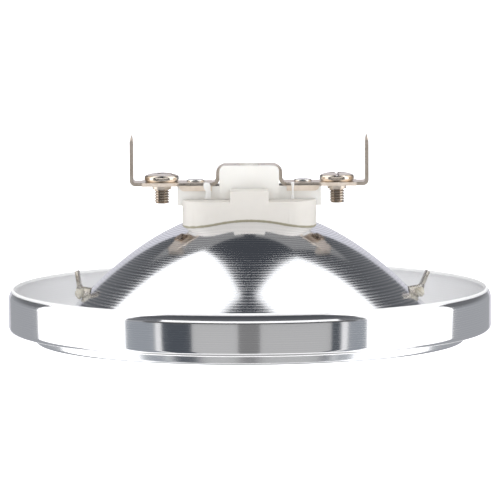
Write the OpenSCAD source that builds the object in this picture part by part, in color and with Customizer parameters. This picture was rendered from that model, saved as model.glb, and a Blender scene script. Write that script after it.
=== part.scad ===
// Reflector lamp, 111 mm, with a two-part ceramic base and two screw-and-blade terminals.
// Millimetres, +Z up. The lamp rests face down on its lip, and the origin is the centre of that lip.

/* [Rim] */
// Outside diameter of the rim band
lamp_d = 111; // [110:0.5:112]
// Height of the rim band's top edge above the lip
rim_h = 12.3; // [11.5:0.1:13]
// Height of the bevel along the top of the rim band
bevel_h = 1.9; // [1:0.1:2.5]
// Width of that bevel
bevel_w = 1.2; // [0.6:0.1:1.6]
// Height at which the rim band starts
step_h = 2.5; // [2:0.1:3]
// Outside radius of the rolled lip
lip_r = 49.5; // [49.2:0.1:50.5]
// Thickness of the aluminium sheet
sheet_t = 0.8; // [0.6:0.1:0.9]

/* [Reflector dish] */
// Height of the apex that the polished parabola would reach
apex_h = 29.5; // [29:0.1:30]
// Focal length of the polished parabola
focal_l = 18; // [17.8:0.1:18.2]
// Radius of the neck hole
neck_r = 8.5; // [8.4:0.1:9]

/* [Ceramic base] */
// Length of the socket body, along the terminals
socket_l = 30.7; // [30:0.1:32]
// Width of the socket body
socket_w = 22.4; // [21:0.1:24]
// Radius of the socket body's upright corners
socket_corner = 8; // [5:0.5:10]
// Height of the socket body's shoulders
socket_top = 32.9; // [32.5:0.1:33.4]
// Width of the two keys that stand on the socket body
key_w = 8.8; // [7:0.1:10]
// Height of the top of the keys
key_top = 35.4; // [34.5:0.1:36]
// Length of the terminal block's bar
block_l = 33; // [32:0.1:34]
// Height of the underside of the terminal block
block_bottom = 31.4; // [31:0.1:31.8]
// Length of the tower
tower_l = 13.66; // [13:0.02:14]
// Width of the tower
tower_w = 8.4; // [8:0.1:8.5]
// Height of the top of the tower
tower_top = 40.6; // [40:0.1:41.5]

/* [Terminals] */
// Distance between the middles of the two blades
blade_span = 54; // [53:0.1:55]
// Width of a push-on blade
blade_w = 6.3; // [6.2:0.1:6.4]
// Height of the blades' tips
blade_top = 47.3; // [46:0.1:48]
// Thickness of the terminal strip
strip_t = 0.8; // [0.7:0.1:0.8]
// Width of the strip where it carries the screw
plate_w = 8.6; // [8.2:0.1:9]
// Height of the underside of the strip
plate_bottom = 35.9; // [35.8:0.1:36]
// Distance between the two screws
screw_span = 40.2; // [39.5:0.1:41]
// Distance between the two rivets
rivet_span = 24.6; // [24:0.1:25]

/* [Screws] */
// Diameter over the thread
thread_d = 3.44; // [3.4:0.01:3.48]
// Thread pitch
pitch = 0.6; // [0.5:0.1:0.7]
// Length of the screw under its head
screw_l = 5; // [4.5:0.1:6]
// Diameter of the screw's head
head_d = 8; // [7.5:0.1:8.2]
// Height of the screw's head
head_h = 2; // [1.8:0.1:2.4]

/* [Capsule] */
// Outside diameter of the quartz bulb
bulb_d = 11.5; // [10:0.1:12]
// Wall of the quartz bulb
bulb_wall = 1; // [0.8:0.1:1.2]
// Distance between the two pins
pin_span = 6.35; // [6.2:0.05:6.5]

/* [Glare cap] */
// Outside diameter of the glare cap
cap_d = 24; // [22:0.5:26]
// Height of the cap's open rim
cap_rim_h = 9; // [8.5:0.1:9.4]
// Thickness of the cap
cap_t = 0.5; // [0.4:0.1:0.6]

/* [Hidden] */

$fn = 96;

// Reflector: the back surface is a second, slightly flatter parabola, which keeps the sheet even.
rim_r = lamp_d / 2;
back_apex_h = apex_h + sheet_t;
back_focal_l = focal_l + 0.25;
dish_steps = 30;
lip_corner = 0.6;
hem_w = 1.5;
hem_t = 0.7;
band_corner = 1.1;
band_corner_steps = 6;

// Slots in the dish for the two arms of the glare cap
arm_slot_w = 0.9;
arm_slot_low = 9.6;
arm_slot_high = 12.8;
arm_slot_start = 34;
arm_slot_l = 7;

// Neck
spigot_r = 8.2;
spigot_bottom = 24.6;
cavity_l = 13;
cavity_w = 6;
retainer_r = 12.2;
retainer_t = 0.5;
retainer_bottom = 26.2;
retainer_rise = 0.55;
retainer_notches = 8;

// Terminal block
block_w = 7;
channel_w = block_w + 0.2;
block_play = 0.05;
groove_w = 5.5;
tower_corner = 1.3;
wrap_r = 1.2;
pocket_l = 11.2;
pocket_w = 4.8;
pocket_top = 38.6;
key_gap = 0.1;

// Terminal strip
plate_top = plate_bottom + strip_t;
strip_w = 5.4;
strip_end = 2.2;
foot_bend = 0.8;
blade_bend = 0.5;
neck_w_start = 24.6;
flange_start = 8.6;
flange_end = 16.1;
flange_bottom = 34.86;
flange_corner = 1.2;
flange_bend = 0.8;
notch_w = 0.4;
notch_depth = 0.9;
collar_r = 2.15;
collar_bottom = 35;
screw_hole_r = 1.78;
blade_hole_r = 0.9;
blade_hole_drop = 4;
tip_l = 1.2;
tip_t = 0.3;
tip_inset = 1;

// Rivets
rivet_r = 1.25;
rivet_hole_r = 1.3;
rivet_head_r = 2.1;
rivet_head_h = 0.6;
rivet_tail_r = 2;
rivet_pocket_r = 2.3;
rivet_pocket_h = 0.8;

// Cement dabs: [middle, half width] along the terminals
left_dab = [9.6, 0.95];
right_dab = [9.88, 0.5];
dab_top = 36.9;
dab_proud = 0.55;

// Screws
thread_r = thread_d / 2;
root_r = thread_r - 0.32;
slot_w = 0.7;
slot_depth = 0.8;
cross_l = 4.4;
head_crown = 0.5;
head_crown_steps = 8;
head_side_steps = 8;

// Capsule
bulb_r = bulb_d / 2;
bulb_cavity_r = bulb_r - bulb_wall;
bulb_dome_h = 8.6;
bulb_barrel_top = 18.5;
bulb_shoulder_r = 3.4;
bulb_shoulder_top = 22;
tip_r = 0.6;
tip_bottom = 2;
dome_steps = 12;
pinch_l = 10.4;
pinch_w = 3.4;
pinch_bottom = 19.5;
pinch_top = 33.5;
foil_x = 3;
foil_w = 2.4;
foil_t = 0.12;
foil_bottom = 23.5;
foil_top = 30.5;
lead_x = 2.4;
lead_r = 0.3;
pin_r = 0.5;
wire_play = 0.01;

// Filament, centred on the focus
focus_h = apex_h - focal_l;
filament_l = 5;
filament_r = 0.9;
filament_wire = 0.18;
filament_turns = 14;
filament_top = focus_h + filament_l / 2;
filament_bottom = focus_h - filament_l / 2;

// Glare cap and its arms
cap_r = cap_d / 2;
cap_front_h = 0.6;
cap_corner = 3.2;
cap_corner_steps = 8;
arm_t = 0.7;
arm_h = 2.6;
arm_inner_low = 5.6;
arm_outer_low = 10.05;
arm_outer_x = 39;
arm_foot_l = 3;
arm_foot_t = 0.5;
twist_l = 1.7;
tab_w = 2.4;
tab_l = 3.2;
left_tab_angle = 82;
right_tab_angle = 66;
tab_twist = 10;

aluminium = [0.80, 0.81, 0.83];
ceramic = [0.93, 0.92, 0.90];
cream = [0.91, 0.89, 0.85];
nickel = [0.78, 0.73, 0.67];
quartz = [0.88, 0.92, 0.94, 0.35];
tungsten = [0.35, 0.35, 0.37];

function front_z(r) = apex_h - r * r / (4 * focal_l);
function back_z(r) = back_apex_h - r * r / (4 * back_focal_l);
function front_r(z) = sqrt((apex_h - z) * 4 * focal_l);
function back_r(z) = sqrt((back_apex_h - z) * 4 * back_focal_l);

// Points on an arc from angle a to angle b
function arc(cx, cz, r, a, b, steps) =
    [for (i = [0:steps]) let (t = a + (b - a) * i / steps) [cx + r * cos(t), cz + r * sin(t)]];

// Points up or down one face of the dish, evenly spaced in radius
function front_curve(r0, r1) =
    [for (i = [0:dish_steps]) let (r = r0 + (r1 - r0) * i / dish_steps) [r, front_z(r)]];
function back_curve(r0, r1) =
    [for (i = [0:dish_steps]) let (r = r0 + (r1 - r0) * i / dish_steps) [r, back_z(r)]];

module both_sides() {
    children();
    mirror([1, 0, 0]) children();
}

// An outline in X and Z, given a width in Y
module side_plate(w) {
    rotate([90, 0, 0]) linear_extrude(w, center = true) children();
}

// An upright block with round corners
module rounded_block(l, w, r, low, high) {
    h = high - low;
    translate([-l / 2 + r, -w / 2, low]) cube([l - 2 * r, w, h]);
    translate([-l / 2, -w / 2 + r, low]) cube([l, w - 2 * r, h]);
    for (sx = [-1, 1], sy = [-1, 1])
        translate([sx * (l / 2 - r), sy * (w / 2 - r), low]) cylinder(r = r, h = h);
}

module reflector_dish() {
    wall_r = lip_r - sheet_t;
    hem_low = step_h + sheet_t;
    color(aluminium) difference() {
        rotate_extrude(convexity = 6) polygon(concat(
            front_curve(neck_r, front_r(0)),
            arc(lip_r - lip_corner, lip_corner, lip_corner, -90, 0, 4),
            [[lip_r, hem_low], [lip_r + hem_w, hem_low], [lip_r + hem_w, hem_low + hem_t]],
            [[wall_r, hem_low + hem_t], [wall_r, sheet_t]],
            back_curve(back_r(sheet_t), neck_r)
        ));
        both_sides() translate([arm_slot_start, -arm_slot_w / 2, arm_slot_low])
            cube([arm_slot_l, arm_slot_w, arm_slot_high - arm_slot_low]);
    }
}

module rim_band() {
    // The bevel's inside face runs sheet_t inside its outside face.
    bevel = sqrt(bevel_w * bevel_w + bevel_h * bevel_h);
    inner_top = [rim_r - bevel_w - sheet_t * bevel_h / bevel, rim_h - sheet_t * bevel_w / bevel];
    inner_r = rim_r - sheet_t;
    inner_bend = inner_top[1] - (inner_r - inner_top[0]) * bevel_h / bevel_w;
    c = band_corner;
    color(aluminium) rotate_extrude(convexity = 6) polygon(concat(
        [[lip_r, step_h]],
        arc(rim_r - c, step_h + c, c, -90, 0, band_corner_steps),
        [[rim_r, rim_h - bevel_h], [rim_r - bevel_w, rim_h], inner_top, [inner_r, inner_bend]],
        arc(rim_r - c, step_h + c, c - sheet_t, 0, -90, band_corner_steps),
        [[lip_r, step_h + sheet_t]]
    ));
}

// A push-on ring with teeth, which holds the socket body's spigot in the neck
module neck_retainer() {
    low = retainer_bottom;
    color(nickel) difference() {
        rotate_extrude() polygon([
            [spigot_r, low], [retainer_r, low + retainer_rise],
            [retainer_r, low + retainer_rise + retainer_t], [spigot_r, low + retainer_t]
        ]);
        for (i = [0:retainer_notches - 1]) rotate(i * 360 / retainer_notches)
            translate([spigot_r - 1, -0.5, low - 1]) cube([2.4, 1, 3]);
    }
}

module socket_body() {
    key_inner = tower_w / 2 + key_gap;
    color(cream) difference() {
        union() {
            difference() {
                rounded_block(socket_l, socket_w, socket_corner, spigot_bottom, socket_top);
                rotate_extrude() polygon(concat(
                    [[spigot_r, 0]],
                    back_curve(spigot_r, socket_l),
                    [[socket_l, 0]]
                ));
            }
            for (sy = [-1, 1])
                translate([-key_w / 2, sy > 0 ? key_inner : -socket_w / 2, socket_top - 1])
                    cube([key_w, socket_w / 2 - key_inner, key_top - socket_top + 1]);
        }
        translate([-socket_l, -channel_w / 2, block_bottom])
            cube([2 * socket_l, channel_w, key_top]);
        translate([-cavity_l / 2, -cavity_w / 2, spigot_bottom - 1])
            cube([cavity_l, cavity_w, block_bottom]);
    }
}

// The tower's outline from the front, with round shoulders
module tower_outline(top, r) {
    half = tower_l / 2;
    translate([-half, socket_top + block_play]) square([tower_l, top - r - socket_top - block_play]);
    translate([-half + r, socket_top + block_play]) square([tower_l - 2 * r, top - socket_top - block_play]);
    for (sx = [-1, 1]) translate([sx * (half - r), top - r]) circle(r = r);
}

module terminal_block() {
    wall = (tower_w - groove_w) / 2;
    color(ceramic) difference() {
        union() {
            translate([-block_l / 2, -block_w / 2, block_bottom])
                cube([block_l, block_w, plate_bottom - block_bottom]);
            side_plate(groove_w) tower_outline(tower_top - strip_t, wrap_r);
            for (sy = [-1, 1]) translate([0, sy * (tower_w - wall) / 2, 0])
                side_plate(wall) tower_outline(tower_top, tower_corner);
        }
        translate([-pocket_l / 2, -pocket_w / 2, block_bottom - 1])
            cube([pocket_l, pocket_w, pocket_top - block_bottom + 1]);
        both_sides() {
            translate([pin_span / 2, 0, block_bottom]) cylinder(r = pin_r + 0.1, h = tower_top);
            translate([rivet_span / 2, 0, block_bottom - 1]) {
                cylinder(r = rivet_hole_r, h = tower_top);
                cylinder(r = rivet_pocket_r, h = rivet_pocket_h + 1);
            }
        }
    }
}

// Cement round the pinch, in the socket body's cavity
module capsule_cement() {
    low = spigot_bottom + 0.3;
    color(ceramic) translate([0, 0, low]) difference() {
        translate([-cavity_l / 2, -cavity_w / 2, 0]) cube([cavity_l, cavity_w, block_bottom - low]);
        translate([-pinch_l / 2, -pinch_w / 2, -1]) cube([pinch_l, pinch_w, block_bottom]);
    }
}

// A quarter ring in X and Z, for a bend in the strip
module bend(cx, cz, r, sx, sz) {
    translate([cx, cz]) difference() {
        intersection() {
            circle(r = r + strip_t);
            translate([sx < 0 ? -2 * r - 2 : 0, sz < 0 ? -2 * r - 2 : 0]) square(2 * r + 2);
        }
        circle(r = r);
    }
}

// The right-hand strip seen from the front: over the tower, down its side, out flat, and up the blade
module strip_outline() {
    half = tower_l / 2;
    foot_x = half + strip_t + foot_bend;
    blade_x = blade_span / 2 + strip_t / 2;
    blade_turn = blade_x - strip_t - blade_bend;
    translate([strip_end, tower_top - strip_t]) square([half - wrap_r - strip_end, strip_t]);
    bend(half - wrap_r, tower_top - strip_t - wrap_r, wrap_r, 1, 1);
    translate([half, plate_top + foot_bend])
        square([strip_t, tower_top - strip_t - wrap_r - plate_top - foot_bend]);
    bend(foot_x, plate_top + foot_bend, foot_bend, -1, -1);
    translate([foot_x, plate_bottom]) square([blade_turn - foot_x, strip_t]);
    bend(blade_turn, plate_top + blade_bend, blade_bend, 1, -1);
    translate([blade_x - strip_t, plate_top + blade_bend])
        square([strip_t, blade_top - tip_l - plate_top - blade_bend]);
    translate([blade_span / 2, blade_top - tip_l]) polygon([
        [-strip_t / 2, 0], [strip_t / 2, 0], [tip_t / 2, tip_l], [-tip_t / 2, tip_l]
    ]);
}

// The strip's outline from above: narrow over the tower, wide under the screw, blade-wide at the end
module strip_plan() {
    foot_x = tower_l / 2 + strip_t + foot_bend;
    translate([0, -strip_w / 2]) square([foot_x + 1, strip_w]);
    difference() {
        translate([foot_x, -plate_w / 2]) square([neck_w_start - foot_x, plate_w]);
        for (sy = [-1, 1])
            translate([flange_end + notch_w / 2, sy * plate_w / 2])
                square([notch_w, 2 * notch_depth], center = true);
    }
    translate([neck_w_start - 1, -blade_w / 2]) square([blade_span, blade_w]);
}

// The blade's outline from the end, with its corners cut off
module blade_outline() {
    polygon([
        [-plate_w, 0], [plate_w, 0], [plate_w, plate_top + 1], [blade_w / 2, plate_top + 1],
        [blade_w / 2, blade_top - tip_inset], [blade_w / 2 - tip_inset, blade_top],
        [tip_inset - blade_w / 2, blade_top], [-blade_w / 2, blade_top - tip_inset],
        [-blade_w / 2, plate_top + 1], [-plate_w, plate_top + 1]
    ]);
}

module flange() {
    c = flange_corner;
    h = plate_top - flange_bottom;
    intersection() {
        translate([flange_start, flange_bottom]) square([flange_end - flange_start, h]);
        union() {
            translate([flange_start, flange_bottom]) square([flange_end - flange_start - c, h]);
            translate([flange_start, flange_bottom + c]) square([flange_end - flange_start, h - c]);
            translate([flange_end - c, flange_bottom + c]) circle(r = c);
        }
    }
}

// What the bend between the plate and a flange leaves out of a square corner
module flange_bend_waste() {
    foot_x = tower_l / 2 + strip_t + foot_bend;
    translate([foot_x, plate_w / 2 - flange_bend, plate_top - flange_bend]) difference() {
        cube([flange_end - foot_x, flange_bend + 1, flange_bend + 1]);
        rotate([0, 90, 0]) cylinder(r = flange_bend, h = flange_end - foot_x);
    }
}

module terminal() {
    screw_x = screw_span / 2;
    color(nickel) difference() {
        union() {
            intersection() {
                side_plate(2 * plate_w) strip_outline();
                linear_extrude(blade_top + 1) strip_plan();
                union() {
                    cube([2 * neck_w_start, 2 * plate_w, 2 * blade_top], center = true);
                    rotate([90, 0, 90]) linear_extrude(blade_span) blade_outline();
                }
            }
            for (sy = [-1, 1]) translate([0, sy * (plate_w - strip_t) / 2, 0])
                side_plate(strip_t) flange();
            translate([screw_x, 0, collar_bottom])
                cylinder(r = collar_r, h = plate_bottom - collar_bottom);
        }
        flange_bend_waste();
        mirror([0, 1, 0]) flange_bend_waste();
        translate([screw_x, 0, 0]) cylinder(r = screw_hole_r, h = blade_top);
        translate([rivet_span / 2, 0, 0]) cylinder(r = rivet_hole_r, h = blade_top);
        translate([pin_span / 2, 0, 0]) cylinder(r = pin_r + 0.05, h = blade_top);
        translate([neck_w_start, 0, blade_top - blade_hole_drop])
            rotate([0, 90, 0]) cylinder(r = blade_hole_r, h = blade_span);
    }
}

// A domed head on the strip, a shank, and a tail spread in the block's pocket
module rivet() {
    dome_r = (rivet_head_r * rivet_head_r + rivet_head_h * rivet_head_h) / (2 * rivet_head_h);
    half_angle = asin(rivet_head_r / dome_r);
    tail_low = block_bottom + 0.1;
    tail_high = block_bottom + rivet_pocket_h;
    color(nickel) translate([rivet_span / 2, 0, 0]) rotate_extrude() polygon(concat(
        [[0, tail_low], [rivet_tail_r, tail_low], [rivet_tail_r, tail_high]],
        [[rivet_r, tail_high], [rivet_r, plate_top]],
        arc(0, plate_top + rivet_head_h - dome_r, dome_r, 90 - half_angle, 90, 6)
    ));
}

// A run of cement down the front of the strip's flange to the socket body's shoulder
module cement_dab(place) {
    y = -plate_w / 2;
    w = place[1];
    color(ceramic) intersection() {
        hull() {
            translate([place[0], y, dab_top - w]) scale([1, dab_proud / w, 1]) sphere(r = w, $fn = 20);
            translate([place[0], y, socket_top + w]) scale([1, dab_proud / w, 1]) sphere(r = w, $fn = 20);
            translate([place[0] - w, y - dab_proud, socket_top]) cube([2 * w, dab_proud, 0.4]);
        }
        translate([0, y - 2, socket_top]) cube([20, 2, 6]);
    }
}

// Points of a ridged shank, from its tip upwards
function thread_points(low, high) =
    let (turns = floor((high - low) / pitch))
    [for (i = [0:turns - 1], k = [0:1])
        [k == 0 ? root_r : thread_r, low + (i + 0.25 + k / 2) * pitch]];

module screw() {
    tip = plate_top - screw_l;
    side_h = head_h - head_crown;
    bulge = side_h / 2;
    flat_r = head_d / 2 - bulge;
    crown_r = (flat_r * flat_r + head_crown * head_crown) / (2 * head_crown);
    half_angle = asin(flat_r / crown_r);
    color(nickel) translate([screw_span / 2, 0, 0]) difference() {
        rotate_extrude(convexity = 8) polygon(concat(
            [[0, tip], [root_r, tip]],
            thread_points(tip, plate_top - 0.2),
            [[root_r, plate_top - 0.1], [root_r, plate_top]],
            arc(flat_r, plate_top + bulge, bulge, -90, 90, head_side_steps),
            arc(0, plate_top + head_h - crown_r, crown_r, 90 - half_angle, 90, head_crown_steps)
        ));
        translate([0, 0, plate_top + head_h]) {
            cube([slot_w, 2 * head_d, 2 * slot_depth], center = true);
            cube([cross_l, slot_w, 2 * slot_depth], center = true);
        }
    }
}

module bulb_shape(r, low, top_r, top_z) {
    rotate_extrude() polygon(concat(
        [[0, bulb_dome_h - r]],
        [for (i = [1:dome_steps]) let (t = -90 + 90 * i / dome_steps)
            [r * cos(t), bulb_dome_h + r * sin(t)]],
        [[r, bulb_barrel_top], [top_r, top_z], [0, top_z]]
    ));
}

module capsule_bulb() {
    color(quartz) difference() {
        union() {
            bulb_shape(bulb_r, 0, bulb_shoulder_r, bulb_shoulder_top);
            translate([0, 0, tip_bottom]) cylinder(r = tip_r, h = bulb_dome_h - bulb_cavity_r - tip_bottom);
            translate([-pinch_l / 2, -pinch_w / 2, pinch_bottom])
                cube([pinch_l, pinch_w, pinch_top - pinch_bottom]);
        }
        bulb_shape(bulb_cavity_r, 0, bulb_shoulder_r - bulb_wall, bulb_shoulder_top - bulb_wall);
        both_sides() {
            translate([lead_x, 0, bulb_dome_h])
                cylinder(r = lead_r + wire_play, h = foil_bottom - bulb_dome_h);
            translate([foil_x - foil_w / 2, -foil_t / 2, foil_bottom])
                cube([foil_w, foil_t, foil_top - foil_bottom]);
            translate([pin_span / 2, 0, foil_top]) cylinder(r = pin_r + wire_play, h = pinch_top);
        }
    }
}

// The coil: a sleeve whose outside is ridged once for each turn
module filament() {
    step = filament_l / filament_turns;
    inner = filament_r - 2 * filament_wire;
    color(tungsten) rotate_extrude(convexity = 4) polygon(concat(
        [[inner, filament_bottom]],
        [for (i = [0:filament_turns - 1], k = [0:1])
            [k == 0 ? filament_r - filament_wire : filament_r, filament_bottom + (i + k / 2) * step]],
        [[filament_r - filament_wire, filament_top], [inner, filament_top]]
    ));
}

// A wire down from the foil and across to one end of the coil
module lead(end_h) {
    reach = filament_r - filament_wire;
    color(tungsten) {
        translate([lead_x, 0, end_h]) cylinder(r = lead_r, h = foil_bottom - end_h);
        translate([lead_x, 0, end_h]) sphere(r = lead_r);
        translate([0, 0, end_h]) rotate([0, 90, 0]) cylinder(r = lead_r, h = lead_x);
    }
}

module foil() {
    color(tungsten) translate([foil_x - foil_w / 2, -foil_t / 2, foil_bottom])
        cube([foil_w, foil_t, foil_top - foil_bottom]);
}

module pin() {
    color(tungsten) translate([pin_span / 2, 0, foil_top])
        cylinder(r = pin_r, h = tower_top - foil_top);
}

module glare_cap() {
    c = cap_corner;
    z = cap_front_h + c;
    color(aluminium) rotate_extrude(convexity = 4) polygon(concat(
        [[0, cap_front_h]],
        arc(cap_r - c, z, c, -90, 0, cap_corner_steps),
        [[cap_r, cap_rim_h], [cap_r - cap_t, cap_rim_h]],
        arc(cap_r - c, z, c - cap_t, 0, -90, cap_corner_steps),
        [[0, cap_front_h + cap_t]]
    ));
}

// An upright strip from the cap to the dish, twisted behind its slot and standing up as a tab
module cap_arm(tab_angle) {
    twist_mid = arm_outer_low + arm_h / 2;
    color(nickel) {
        side_plate(arm_t) polygon([
            [cap_r, arm_inner_low], [arm_outer_x, arm_outer_low],
            [arm_outer_x, arm_outer_low + arm_h], [cap_r, arm_inner_low + arm_h]
        ]);
        translate([cap_r, 0, arm_inner_low])
            translate([0, -arm_foot_l / 2, 0]) cube([arm_foot_t, arm_foot_l, arm_h]);
        translate([arm_outer_x, 0, twist_mid]) rotate([0, 90 - tab_angle, 0]) {
            hull() {
                translate([-arm_h / 2 + 0.3, -arm_t / 2, -0.5]) cube([arm_h - 0.6, arm_t, 0.5]);
                rotate(tab_twist) translate([-arm_t / 2, -tab_w / 2, twist_l]) cube([arm_t, tab_w, 0.1]);
            }
            rotate(tab_twist) translate([-arm_t / 2, -tab_w / 2, twist_l]) cube([arm_t, tab_w, tab_l]);
        }
    }
}

reflector_dish();
rim_band();
neck_retainer();
socket_body();
terminal_block();
capsule_cement();
mirror([1, 0, 0]) terminal();  // left_terminal
terminal();  // right_terminal
mirror([1, 0, 0]) rivet();  // left_rivet
rivet();  // right_rivet
mirror([1, 0, 0]) cement_dab(left_dab);  // left_cement_dab
cement_dab(right_dab);  // right_cement_dab
mirror([1, 0, 0]) screw();  // left_screw
screw();  // right_screw
capsule_bulb();
filament();
mirror([1, 0, 0]) lead(filament_top + lead_r);  // left_lead
lead(filament_bottom - lead_r);  // right_lead
mirror([1, 0, 0]) foil();  // left_foil
foil();  // right_foil
mirror([1, 0, 0]) pin();  // left_pin
pin();  // right_pin
glare_cap();
mirror([1, 0, 0]) cap_arm(left_tab_angle);  // left_cap_arm
cap_arm(right_tab_angle);  // right_cap_arm
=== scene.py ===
"""A 111 mm reflector lamp, lying face down with its ceramic base on top, in a plain studio.

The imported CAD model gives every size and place. This script replaces the nodes that show with finer pieces,
dresses the rest, and sets the camera, the floor and the studio round them.
"""

from __future__ import annotations

import logging
import math
from dataclasses import dataclass
from enum import Enum
from typing import Callable, Iterable, Optional, Sequence

import bpy
from mathutils import Euler, Matrix, Vector

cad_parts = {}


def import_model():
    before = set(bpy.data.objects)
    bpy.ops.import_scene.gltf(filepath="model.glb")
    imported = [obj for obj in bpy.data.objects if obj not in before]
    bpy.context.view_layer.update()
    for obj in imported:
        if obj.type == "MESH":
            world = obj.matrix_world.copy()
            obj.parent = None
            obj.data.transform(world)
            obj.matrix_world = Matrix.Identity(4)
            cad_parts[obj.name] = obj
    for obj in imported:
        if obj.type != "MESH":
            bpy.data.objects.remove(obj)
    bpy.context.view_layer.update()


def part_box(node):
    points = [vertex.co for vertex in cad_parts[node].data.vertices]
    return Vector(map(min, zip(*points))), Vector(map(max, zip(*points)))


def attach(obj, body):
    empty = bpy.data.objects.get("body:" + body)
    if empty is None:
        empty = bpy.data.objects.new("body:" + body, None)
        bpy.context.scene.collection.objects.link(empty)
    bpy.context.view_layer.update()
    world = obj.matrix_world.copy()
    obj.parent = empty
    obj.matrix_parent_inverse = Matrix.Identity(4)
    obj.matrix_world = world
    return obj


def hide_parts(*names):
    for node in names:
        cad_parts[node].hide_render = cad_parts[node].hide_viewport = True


LOG = logging.getLogger("reflector_lamp")
MM = 0.001
BODY = "lamp"

Point = tuple[float, float]
Corner = tuple[float, float, float]
Colour = tuple[float, float, float]
Piece = bpy.types.Object
Socket = bpy.types.NodeSocket


# ---------------------------------------------------------------- outlines


def fillet(corners: Sequence[Corner], steps: int = 5) -> list[Point]:
    """Rounds the corners of a closed outline.

    Args:
        corners: each corner's two coordinates and the radius that it is rounded to.
        steps: how many straight pieces make each round corner.

    Returns:
        The outline's points, in the order of the corners.
    """
    points: list[Point] = []
    for index, (x, z, radius) in enumerate(corners):
        here = Vector((x, z))
        before = Vector(corners[index - 1][:2]) - here
        after = Vector(corners[(index + 1) % len(corners)][:2]) - here
        half = before.angle(after, 0.0) / 2
        if radius <= 0 or half < 0.01 or half > math.pi / 2 - 0.01:
            points.append((x, z))
            continue
        reach = min(radius / math.tan(half), before.length / 2, after.length / 2)
        radius = reach * math.tan(half)
        middle = here + (before.normalized() + after.normalized()).normalized() * radius / math.sin(half)
        start = here + before.normalized() * reach - middle
        end = here + after.normalized() * reach - middle
        sweep = start.angle_signed(end)
        for step in range(steps + 1):
            turned = start.copy()
            turned.rotate(Matrix.Rotation(-sweep * step / steps, 2))
            points.append(tuple(middle + turned))
    return points


def curve(height: Callable[[float], float], start: float, end: float, steps: int) -> list[Corner]:
    """Points along a curve that gives a height for each radius.

    Args:
        height: the height at a radius.
        start: the first radius.
        end: the last radius.
        steps: how many straight pieces make the curve.

    Returns:
        The points, as corners that stay sharp.
    """
    radii = [start + (end - start) * i / steps for i in range(steps + 1)]
    return [(r, height(r), 0.0) for r in radii]


def arc(centre: Point, radius: float, start_deg: float, end_deg: float, steps: int) -> list[Corner]:
    """Points on an arc, as corners that stay sharp.

    Args:
        centre: the arc's middle.
        radius: its radius.
        start_deg: where it starts, from the first axis towards the second.
        end_deg: where it ends.
        steps: how many straight pieces make it.

    Returns:
        The points, both ends included.
    """
    turns = [math.radians(start_deg + (end_deg - start_deg) * i / steps) for i in range(steps + 1)]
    return [(centre[0] + radius * math.cos(t), centre[1] + radius * math.sin(t), 0.0) for t in turns]


# ---------------------------------------------------------------- modelling


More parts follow.
